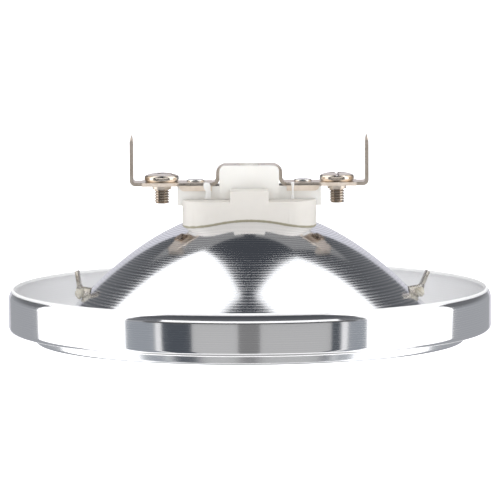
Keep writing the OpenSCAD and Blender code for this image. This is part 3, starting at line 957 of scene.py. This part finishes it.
@dataclass
class Terminal:
    """One terminal: the strip, its rivet and its screw. Sizes in millimetres."""

    side: str
    slot_turn_deg: float
    strip_top: float = 36.7
    tail: float = 1.9
    tail_top: float = 32.2
    shank: float = 1.25
    screw_tip: float = 31.7
    thread: float = 1.72
    root: float = 1.4
    pitch: float = 0.6
    head: float = 4.0
    head_height: float = 2.0
    crown: float = 0.55
    slot_width: float = 0.75
    slot_depth: float = 0.6
    cross_length: float = 3.2

    def centre_of(self, node: str) -> Vector:
        """The middle of a node's box, in millimetres."""
        low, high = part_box(node)
        return (low + high) / 2 / MM

    def strip(self) -> Piece:
        """The plated strip, with its punched edges rounded."""
        piece = Bench.copy_of_node(self.side + "_terminal", self.side + "_strip")
        Bench.soften(piece, 0.12, 2)
        return Bench.flatten_shading(Bench.clean(piece, 40.0, 0.001))

    def rivet(self) -> Piece:
        """The rivet, with a low round head."""
        node = self.side + "_rivet"
        low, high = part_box(node)
        centre = self.centre_of(node)
        radius, top = (high.x - low.x) / 2 / MM, high.z / MM
        corners = [
            (0.0, low.z / MM, 0.0),
            (self.tail, low.z / MM, 0.2),
            (self.tail, self.tail_top, 0.1),
            (self.shank, self.tail_top, 0.0),
            (self.shank, self.strip_top, 0.0),
            (radius, self.strip_top, 0.08),
            (radius * 0.92, top - 0.12, 0.5),
            (radius * 0.5, top, 1.2),
            (0.0, top, 0.0),
        ]
        piece = Bench.lathe(self.side + "_rivet_head", fillet(corners), 48)
        piece.location = (centre.x * MM, 0, 0)
        Bench.apply_place(piece)
        return piece

    def screw(self) -> Piece:
        """The screw: head, core and a helical thread, with a combined slot and cross."""
        top = self.strip_top + self.head_height
        shoulder = self.strip_top + self.head_height - self.crown
        corners = [
            (0.0, self.screw_tip, 0.0),
            (self.root, self.screw_tip, 0.25),
            (self.root, self.strip_top, 0.0),
            (self.head - 0.35, self.strip_top, 0.3),
            (self.head, self.strip_top + 0.55, 0.5),
            (self.head - 0.05, shoulder, 0.8),
            (self.head * 0.55, top - 0.05, 2.0),
            (0.0, top, 0.0),
        ]
        piece = Bench.lathe(self.side + "_screw_turned", fillet(corners, 8), 72)
        half = self.slot_width / 2
        low = top - self.slot_depth
        reach = self.head + 1
        across = Bench.block("slot_tool", (-half, -reach, low), (half, reach, top + 1))
        arm = self.cross_length / 2
        cross = Bench.block("cross_tool", (-arm, -half, low), (arm, half, top + 1))
        Bench.cut(piece, across, cross)
        Bench.soften(piece, 0.06, 2, 50.0)
        piece.rotation_euler = Euler((0, 0, math.radians(self.slot_turn_deg)))
        Bench.apply_place(piece)
        Bench.join(piece, self.helix())
        piece.location = (self.centre_of(self.side + "_screw").x * MM, 0, 0)
        Bench.apply_place(piece)
        return Bench.clean(piece, 35.0, 0.001)

    def helix(self) -> Piece:
        """One ridge wound up the core, with closed ends."""
        inside = self.root - 0.15
        low = self.screw_tip + 0.28
        crest, base = self.pitch * 0.2, self.pitch * 0.46
        turns = int((self.strip_top - 0.25 - low) / self.pitch)
        outline = [(inside, -base), (self.thread, -crest), (self.thread, crest), (inside, base)]
        ridge = Bench.loop("thread", [(r, 0.0, low + z) for r, z in outline])
        Bench.wind(ridge, self.pitch, turns, 48, use_merge_vertices=False)
        return Bench.clean(ridge, 35.0, 0.001)

    def build(self, dresser: Dresser) -> None:
        """Builds and dresses this side's pieces."""
        dresser.dress(self.strip(), STRIP, BODY, self.side + "_terminal")
        dresser.dress(self.rivet(), RIVET, BODY, self.side + "_rivet")
        dresser.dress(self.screw(), SCREW, "screw_" + self.side, self.side + "_screw")


@dataclass
class Capsule:
    """The quartz bulb, its filament and what leads to it. Sizes in millimetres."""

    wire: float = 0.09
    turns: int = 14

    def filament(self) -> Piece:
        """A coil of round wire in the space of its node."""
        low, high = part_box("filament")
        radius = high.x / MM - self.wire
        length = (high.z - low.z) / MM - 2 * self.wire
        start = low.z / MM + self.wire
        ring = arc((radius, start), self.wire, 0.0, 315.0, 7)
        coil = Bench.loop("filament_coil", [(r, 0.0, z) for r, z, _ in ring])
        Bench.wind(coil, length / self.turns, self.turns, 24)
        return Bench.clean(coil, 40.0, 0.001)

    def build(self, dresser: Dresser) -> None:
        """Builds the coil, and dresses the rest of the capsule."""
        dresser.dress(self.filament(), TUNGSTEN, BODY, "filament")
        bulb = Bench.copy_of_node("capsule_bulb", "quartz_bulb")
        Bench.soften(bulb, 0.25, 2, 50.0)
        dresser.dress(Bench.clean(bulb, 35.0, 0.001), QUARTZ, BODY, "capsule_bulb")
        for side in ("left", "right"):
            for part in ("lead", "foil", "pin"):
                dresser.coat(bpy.data.objects[f"{side}_{part}"], MOLYBDENUM)


@dataclass
class GlareCap:
    """The cap in front of the capsule, and the two arms that carry it. Sizes in millimetres."""

    sheet: float = 0.5
    corner: float = 3.2

    def cup(self) -> Piece:
        """Spins the cap, with a rolled rim."""
        low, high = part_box("glare_cap")
        radius, bottom, top = high.x / MM, low.z / MM, high.z / MM
        corners = [
            (0.0, bottom, 0.0),
            (radius, bottom, self.corner),
            (radius, top, 0.22),
            (radius - self.sheet, top, 0.22),
            (radius - self.sheet, bottom + self.sheet, self.corner - self.sheet),
            (0.0, bottom + self.sheet, 0.0),
        ]
        return Bench.lathe("glare_cap_pressed", fillet(corners, 10), 128)

    def build(self, dresser: Dresser) -> None:
        """Builds and dresses the cap and its arms."""
        dresser.dress(self.cup(), CAP, BODY, "glare_cap")
        for side in ("left", "right"):
            arm = Bench.copy_of_node(side + "_cap_arm", side + "_arm_strip")
            Bench.soften(arm, 0.12, 2, 30.0)
            dresser.dress(Bench.clean(arm, 30.0, 0.001), ARM, BODY, side + "_cap_arm")


# ---------------------------------------------------------------- the studio


@dataclass(frozen=True)
class Glow:
    """A lit surface round the object, seen in reflections and not by the camera."""

    name: str
    brightness: float
    tint: Colour = (1.0, 1.0, 1.0)
    distance: float = 1.2
    cells: int = 16

    def direction(self, across: float, along: float) -> Vector:
        """The direction of a place on the surface, with both shares from 0 to 1."""
        raise NotImplementedError

    def build(self) -> Piece:
        """Adds the surface."""
        bpy.ops.object.select_all(action="DESELECT")
        bpy.ops.mesh.primitive_grid_add(x_subdivisions=self.cells, y_subdivisions=self.cells, size=2)
        surface = Bench.name(bpy.context.active_object, self.name)
        for vertex in surface.data.vertices:
            vertex.co = self.direction((vertex.co.x + 1) / 2, (vertex.co.y + 1) / 2) * self.distance
        material = bpy.data.materials.new(self.name)
        material.use_nodes = True
        nodes = material.node_tree.nodes
        nodes.remove(nodes["Principled BSDF"])
        glow = nodes.new("ShaderNodeEmission")
        glow.inputs["Color"].default_value = (*self.tint, 1.0)
        glow.inputs["Strength"].default_value = self.brightness
        material.node_tree.links.new(glow.outputs[0], nodes["Material Output"].inputs["Surface"])
        surface.data.materials.append(material)
        surface.visible_camera = False
        surface.visible_shadow = False
        return surface


@dataclass(frozen=True)
class Softbox(Glow):
    """A big overhead light, by its four corners on a map of the sky.

    The map's centre is overhead, its axes are degrees to the right and towards the camera, and the
    distance from its centre is the angle down from overhead.
    """

    corners: tuple[Point, ...] = ()

    def direction(self, across: float, along: float) -> Vector:
        """The direction of a place on the softbox, with both shares from 0 to 1."""
        a, b, c, d = (Vector(corner) for corner in self.corners)
        spot = a.lerp(b, across).lerp(d.lerp(c, across), along)
        down = math.radians(spot.length)
        flat = spot.normalized()
        return Vector((flat.x * math.sin(down), -flat.y * math.sin(down), math.cos(down)))


@dataclass(frozen=True)
class Card(Glow):
    """An upright card between two bearings and two heights.

    A bearing is 0 towards the camera and positive to the right. A height is above the horizon. Both are in
    degrees.
    """

    bearings: Point = (0.0, 0.0)
    heights: Point = (-46.0, -3.0)

    def direction(self, across: float, along: float) -> Vector:
        """The direction of a place on the card, with both shares from 0 to 1."""
        bearing = math.radians(self.bearings[0] + (self.bearings[1] - self.bearings[0]) * across)
        height = math.radians(self.heights[0] + (self.heights[1] - self.heights[0]) * along)
        level = math.cos(height)
        return Vector((math.sin(bearing) * level, -math.cos(bearing) * level, math.sin(height)))


@dataclass
class Studio:
    """The camera, the floor, the room, its one lamp and its glows. Distances in metres."""

    elevation_deg: float = 5.86
    distance: float = 1.54
    lens_mm: float = 482.2
    sensor_mm: float = 36.0
    target: Vector = Vector((0.0001, 0.0, 0.0208))
    roll_deg: float = 0.3
    floor_size: float = 8.0
    fill_watts: float = 2.4
    fill_place: Corner = (0.0, -0.9, 0.45)
    fill_aim: Corner = (0.0, 0.0, 0.03)
    fill_size: float = 0.9
    backdrop: float = 1.1
    sky: tuple[tuple[float, Colour], ...] = (
        (0.0, (0.36, 0.37, 0.39)),
        (0.2, (0.17, 0.175, 0.185)),
        (0.6, (0.10, 0.104, 0.112)),
        (0.95, (0.055, 0.06, 0.07)),
    )
    skirt_heights: Point = (-46.0, 34.0)

    def camera(self) -> Piece:
        """Adds the camera, level with the rim and a little above it."""
        rise = math.radians(self.elevation_deg)
        back = Vector((0, -math.cos(rise), math.sin(rise)))
        data = bpy.data.cameras.new("camera")
        data.lens = self.lens_mm
        data.sensor_width = self.sensor_mm
        data.clip_start, data.clip_end = 0.05, 50.0
        camera = bpy.data.objects.new("camera", data)
        bpy.context.scene.collection.objects.link(camera)
        camera.location = self.target + back * self.distance
        roll = Matrix.Rotation(math.radians(-self.roll_deg), 3, "Z")
        camera.rotation_euler = ((-back).to_track_quat("-Z", "Y").to_matrix() @ roll).to_euler()
        bpy.context.scene.camera = camera
        return camera

    def floor(self) -> Piece:
        """Adds a plain pale floor, which the metal doesn't mirror."""
        bpy.ops.object.select_all(action="DESELECT")
        bpy.ops.mesh.primitive_plane_add(size=self.floor_size, location=(0, 0, -0.00002))
        floor = Bench.name(bpy.context.active_object, "floor")
        graph = Graph("floor_white")
        floor.data.materials.append(
            graph.set(
                Base_Color=(0.9, 0.9, 0.9, 1.0), Roughness=0.9, Specular_IOR_Level=0.0,
                Emission_Color=(1.0, 1.0, 1.0, 1.0), Emission_Strength=1.0,
            )
        )
        floor.visible_glossy = False
        return floor

    def room(self) -> None:
        """Sets a white backdrop for the camera, and a grey room for everything else."""
        world = bpy.data.worlds.new("room")
        bpy.context.scene.world = world
        world.use_nodes = True
        tree = world.node_tree
        tree.nodes.clear()
        new = tree.nodes.new
        place, split = new("ShaderNodeTexCoord"), new("ShaderNodeSeparateXYZ")
        ramp = new("ShaderNodeValToRGB")
        grey, white = new("ShaderNodeBackground"), new("ShaderNodeBackground")
        path, mix, out = new("ShaderNodeLightPath"), new("ShaderNodeMixShader"), new("ShaderNodeOutputWorld")
        stops = ramp.color_ramp.elements
        for stop, (height, colour) in zip((stops[0], stops[1]), (self.sky[0], self.sky[-1])):
            stop.position, stop.color = height, (*colour, 1.0)
        for height, colour in self.sky[1:-1]:
            stops.new(height).color = (*colour, 1.0)
        white.inputs["Color"].default_value = (1.0, 1.0, 1.0, 1.0)
        white.inputs["Strength"].default_value = self.backdrop
        for start, end in (
            (place.outputs["Generated"], split.inputs[0]),
            (split.outputs[2], ramp.inputs[0]),
            (ramp.outputs[0], grey.inputs["Color"]),
            (path.outputs["Is Camera Ray"], mix.inputs[0]),
            (grey.outputs[0], mix.inputs[1]),
            (white.outputs[0], mix.inputs[2]),
            (mix.outputs[0], out.inputs["Surface"]),
        ):
            tree.links.new(start, end)

    def fill(self) -> Piece:
        """Adds a broad soft light from the front, which the metal doesn't mirror."""
        bpy.ops.object.select_all(action="DESELECT")
        bpy.ops.object.light_add(type="AREA", location=self.fill_place)
        light = bpy.context.active_object
        light.name = "front_fill"
        light.data.size = self.fill_size
        light.data.energy = self.fill_watts
        aim = Vector(self.fill_aim) - Vector(self.fill_place)
        light.rotation_euler = aim.to_track_quat("-Z", "Y").to_euler()
        light.visible_glossy = False
        light.visible_camera = False
        return light

    def glows(self) -> list[Glow]:
        """The two big softboxes with their skirts, the glow behind and below, and the cards in front."""
        cool, navy, mauve = (0.86, 0.92, 1.0), (0.75, 0.85, 1.0), (0.93, 0.925, 1.0)
        low = self.skirt_heights
        return [
            Softbox("softbox_left", 1.6, corners=((-3.3, 5), (-17, -26), (-50, -39), (-87, 50))),
            Softbox("softbox_right", 1.6, corners=((1.9, 5), (18, -21), (52, -32), (83, 56))),
            Card("skirt_left", 1.6, distance=1.18, bearings=(-118.8, -60), heights=low),
            Card("skirt_right", 1.6, distance=1.18, bearings=(56, 110.3), heights=low),
            Card("backdrop_glow", 0.74, mauve, bearings=(161, 199), heights=(-24, 50)),
            Card("spill_left", 0.28, bearings=(-176, -146), heights=(36, 60)),
            Card("spill_right", 0.28, bearings=(146, 176), heights=(36, 60)),
            Card("floor_glow", 1.25, cells=48, bearings=(-180, 180), heights=(-62, -46)),
            Card("floor_shade", 0.45, cells=48, bearings=(-180, 180), heights=(-89, -62)),
            Card("front_top_card", 1.3, bearings=(-42, 42), heights=(6, 19)),
            Card("front_gap", 0.1, bearings=(-50, 50), heights=(-3, 6)),
            Card("stripe_far_left", 0.36, cool, bearings=(-60, -45.5)),
            Card("stripe_left_edge", 0.9, bearings=(-44.5, -41.5)),
            Card("flag_left", 0.10, navy, bearings=(-41.5, -27)),
            Card("card_left", 0.50, bearings=(-27, -5.5)),
            Card("camera_gap", 0.22, bearings=(-5.5, 4.6)),
            Card("card_right", 0.48, bearings=(4.6, 38)),
            Card("flag_right", 0.10, navy, bearings=(38, 42.5)),
            Card("stripe_right_edge", 0.9, bearings=(43, 46)),
            Card("stripe_far_right", 0.36, cool, bearings=(47, 56)),
        ]

    def build(self) -> None:
        """Sets the whole studio."""
        self.camera()
        self.floor()
        self.room()
        self.fill()
        for glow in self.glows():
            glow.build()
        bpy.context.scene.view_settings.view_transform = "Standard"


def main() -> None:
    """Builds the lamp round its CAD frame, and the studio round the lamp."""
    logging.basicConfig(level=logging.INFO, format="%(name)s: %(message)s")
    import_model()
    Studio().build()
    dresser = Dresser()
    terminals = (Terminal("left", 62.0), Terminal("right", 4.0))
    for assembly in (Reflector(), Base(), *terminals, Capsule(), GlareCap()):
        assembly.build(dresser)


if __name__ == "__main__":
    main()
